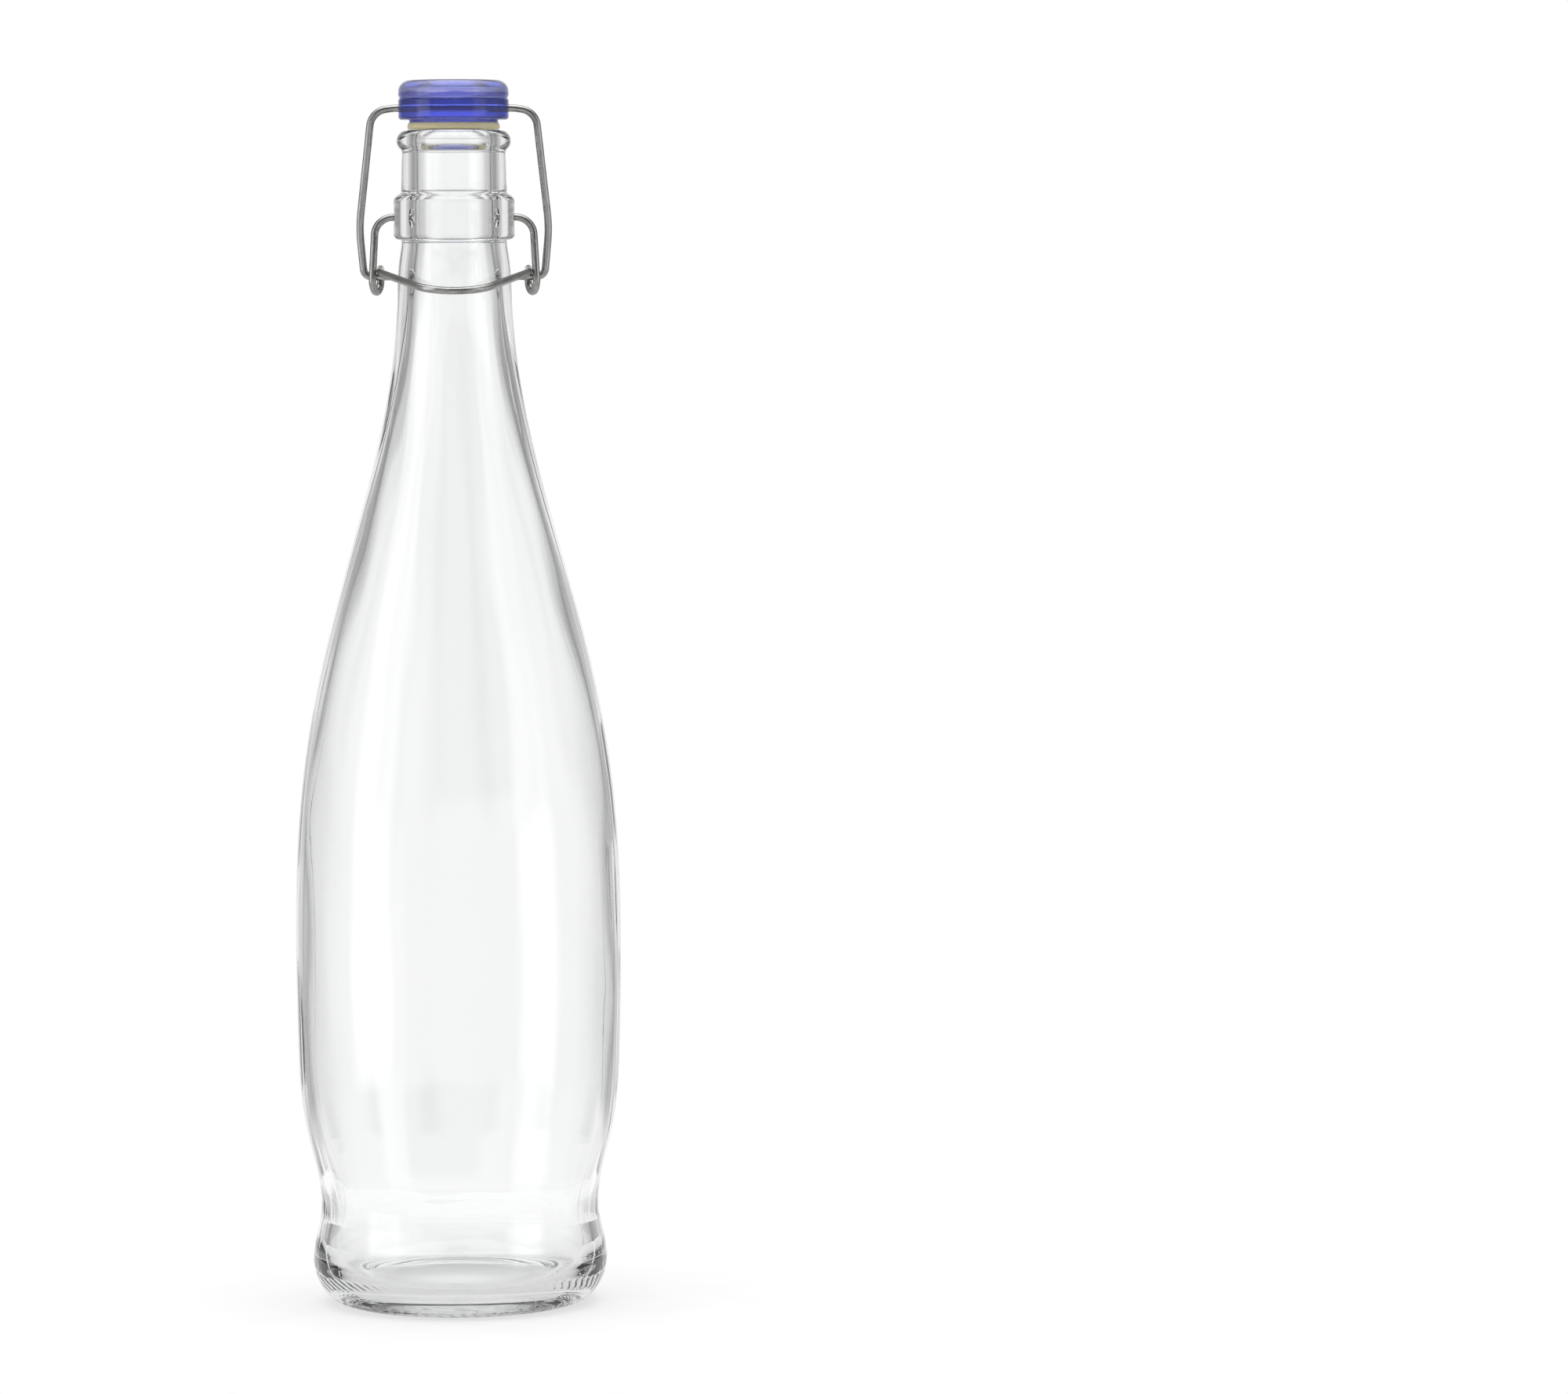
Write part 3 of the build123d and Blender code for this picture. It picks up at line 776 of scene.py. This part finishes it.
def gasket_outline():
    """The rubber ring: soft edges, a bulging side and flat faces."""
    middle = (GASKET_TOP + GASKET_BOTTOM) / 2
    edge = 0.45
    bore = PEG_RADIUS + 0.02
    low_out = (GASKET_RADIUS - edge, GASKET_BOTTOM)
    side_low = (GASKET_RADIUS, GASKET_BOTTOM + edge)
    side_high = (GASKET_RADIUS - 0.08, middle + 0.25)
    top_out = (GASKET_RADIUS - 0.7, GASKET_TOP)
    return joined(
        line((bore, GASKET_BOTTOM), (bore + 0.15, GASKET_BOTTOM), 2),
        line((bore + 0.15, GASKET_BOTTOM), low_out, 8),
        arc_from(low_out, (1, 0), side_low, 7),
        spline([side_low, side_high, top_out], (0, 1), (-1, 0.1), 12),
        line(top_out, (bore, GASKET_TOP), 8),
        line((bore, GASKET_TOP), (bore, GASKET_BOTTOM), 4),
    )[:-1]


def gasket_material():
    material = bpy.data.materials.new("cream_rubber")
    t = Tree(material)
    place = t.add("ShaderNodeTexCoord").outputs["Object"]
    stain = t.noise(place, 260.0, 5.0, 0.6)
    fine = t.noise(place, 2600.0, 3.0)
    colour = t.mix(stain, (0.66, 0.57, 0.31, 1), (0.78, 0.72, 0.46, 1))
    gloss = t.ramp(fine, 0.3, 0.7, 0.38, 0.55)
    relief = t.math("MULTIPLY_ADD", fine, 0.5, stain)
    bump = t.add("ShaderNodeBump", {"Strength": 0.25, "Distance": 0.0001, "Height": relief})
    rubber = t.add("ShaderNodeBsdfPrincipled", {
        "Base Color": colour, "Roughness": gloss, "IOR": 1.45, "Subsurface Weight": 0.5,
        "Subsurface Radius": (1.0, 0.8, 0.4), "Subsurface Scale": 0.0012, "Normal": bump.outputs[0],
    })
    t.add("ShaderNodeOutputMaterial", {"Surface": rubber.outputs[0]})
    return material


def make_gasket():
    angles = np.arange(TURNED_SEGMENTS) * 2 * math.pi / TURNED_SEGMENTS
    ring = turned("gasket_rubber", gasket_outline(), angles, closed=True)
    ring.data.materials.append(gasket_material())
    finish_piece(ring, "stopper", "gasket")


# ---------------------------------------------------------------- wires

WIRE_RADIUS = 1.025
STRAND = 2 * WIRE_RADIUS + 0.15  # from one wire's middle to the next one's, where they pass
TIP_EDGE = 0.3
PIVOT_TIP = 14.0
SHOULDER_X, LEG_X, LEG_BEND = 21.5, 22.4, 5.0
EYE_RADIUS, EYE_HEIGHT = 3.1, 281.3
BAR_REACH, BAR_SLOPE, BAR_LEAD = 25.0, 12.5, 4.5
BAR_NOSE, BAR_BEND = 12.0, 5.0
PIN_TIP, BAIL_FOOT_X, BAIL_WAIST_X, BAIL_TOP_X = 16.8, 24.65, 25.9, 22.4
BAIL_WAIST_DROP = 32.5
DROOP_X, DROOP = 16.6, 0.9  # the crossbar's ends droop outside the stopper
BAIL_BENDS = [2.3, 40.0, 5.0, 12.0]


def mirrored(points):
    """The same points on the other side, in the opposite order."""
    return [Vector((-point.x, point.y, point.z)) for point in reversed(points)]


def bar_apex(half_width, nose):
    """Where the flanks of the thumb bar would meet if its nose weren't rounded."""
    apex = nose
    for _ in range(60):
        flank = math.atan2(half_width, apex - BAR_LEAD)
        apex = nose + BAR_NOSE * (1 / math.sin(flank) - 1)
    return apex


def lever_path():
    """The lever's middle line: pivot, leg, eye and thumb bar, and the same on the other side."""
    foot = Vector((LEG_X, PIN_Y - EYE_RADIUS, EYE_HEIGHT))
    middle = Vector((LEG_X - STRAND, PIN_Y, EYE_HEIGHT))
    up, back = Vector((0, 0, EYE_RADIUS)), Vector((0, EYE_RADIUS, 0))
    across = (middle + back - foot) / 2
    depth = Vector((0, 0, across.length))
    pivot = (PIVOT_TIP, PIVOT_Y, PIVOT_Z)
    side = rounded([pivot, (SHOULDER_X, PIVOT_Y, PIVOT_Z), foot], [LEG_BEND])
    side += arc_about(foot + across, across, depth, 180, 180)
    side += arc_about(middle, back, up, 0, 90 + BAR_SLOPE)
    start = side[-1]
    forward = Vector((0, -cos(BAR_SLOPE), -sin(BAR_SLOPE)))
    nose = (BAR_REACH + start.y) / cos(BAR_SLOPE)
    turn = start + forward * BAR_LEAD
    apex = Vector((0, start.y, start.z)) + forward * bar_apex(start.x, nose)
    corners = [start, turn, apex, *mirrored([start, turn])]
    bar = rounded(corners, [BAR_BEND, BAR_NOSE, BAR_BEND])
    return [*side, *bar, *mirrored(side)]


def bail_path():
    """The bail's middle line: pin, side leg and crossbar, and the same on the other side."""
    foot = Vector((0, PIN_Y, PIN_Z))
    top = Vector((0, CROSSBAR_Y, CROSSBAR_Z))
    down = (foot - top).normalized()
    waist, corner = top + down * BAIL_WAIST_DROP, top + down * DROOP
    levels = [(foot, PIN_TIP), (foot, BAIL_FOOT_X), (waist, BAIL_WAIST_X)]
    levels += [(corner, BAIL_TOP_X), (top, DROOP_X)]
    side = [level + Vector((x, 0, 0)) for level, x in levels]
    return rounded([*side, *mirrored(side)], [*BAIL_BENDS, *BAIL_BENDS[::-1]])


def wire_material():
    material = bpy.data.materials.new("drawn_steel")
    t = Tree(material)
    around = t.add("ShaderNodeUVMap", uv_map="around").outputs[0]
    along = t.add("ShaderNodeUVMap", uv_map="along").outputs[0]
    cosine, sine, _ = t.add("ShaderNodeSeparateXYZ", {0: around}).outputs
    length, _, _ = t.add("ShaderNodeSeparateXYZ", {0: along}).outputs
    lengthwise = t.add("ShaderNodeCombineXYZ", {0: cosine, 1: sine, 2: length}).outputs[0]
    draw_lines = t.noise(t.stretch(lengthwise, (9, 9, 0.35)), 1.0, 5.0, 0.7)
    blotch = t.noise(t.stretch(lengthwise, (0.8, 0.8, 2.2)), 1.0, 4.0, 0.6)
    scuff = t.ramp(t.noise(t.stretch(lengthwise, (2.5, 2.5, 7)), 1.0, 6.0, 0.7), 0.55, 0.75, 0.0, 1.0)
    clean = t.mix(draw_lines, (0.20, 0.20, 0.198, 1), (0.46, 0.46, 0.45, 1))
    dull = t.mix(t.ramp(blotch, 0.45, 0.7, 0.0, 0.55), clean, (0.14, 0.138, 0.132, 1))
    colour = t.mix(t.math("MULTIPLY", scuff, 0.35), dull, (0.66, 0.66, 0.65, 1))
    rough = t.math("MULTIPLY_ADD", scuff, 0.12, t.ramp(draw_lines, 0.3, 0.7, 0.11, 0.22))
    relief = t.math("MULTIPLY_ADD", scuff, -0.5, draw_lines)
    bump = t.add("ShaderNodeBump", {"Strength": 0.35, "Distance": 0.00006, "Height": relief})
    steel = t.add("ShaderNodeBsdfPrincipled", {
        "Base Color": colour, "Metallic": 1.0, "Roughness": rough, "Normal": bump.outputs[0],
    })
    t.add("ShaderNodeOutputMaterial", {"Surface": steel.outputs[0]})
    return material


def make_wires():
    steel = wire_material()
    lever = wire_tube("lever_steel", lever_path(), WIRE_RADIUS, TIP_EDGE)
    bail = wire_tube("bail_steel", bail_path(), WIRE_RADIUS, TIP_EDGE)
    for wire, body in ((lever, "lever"), (bail, "bail")):
        wire.data.materials.append(steel)
        finish_piece(wire, body, f"{body}_wire")


make_view()
make_camera()
make_world()
make_floor()
make_bottle()
make_head()
make_gasket()
make_wires()
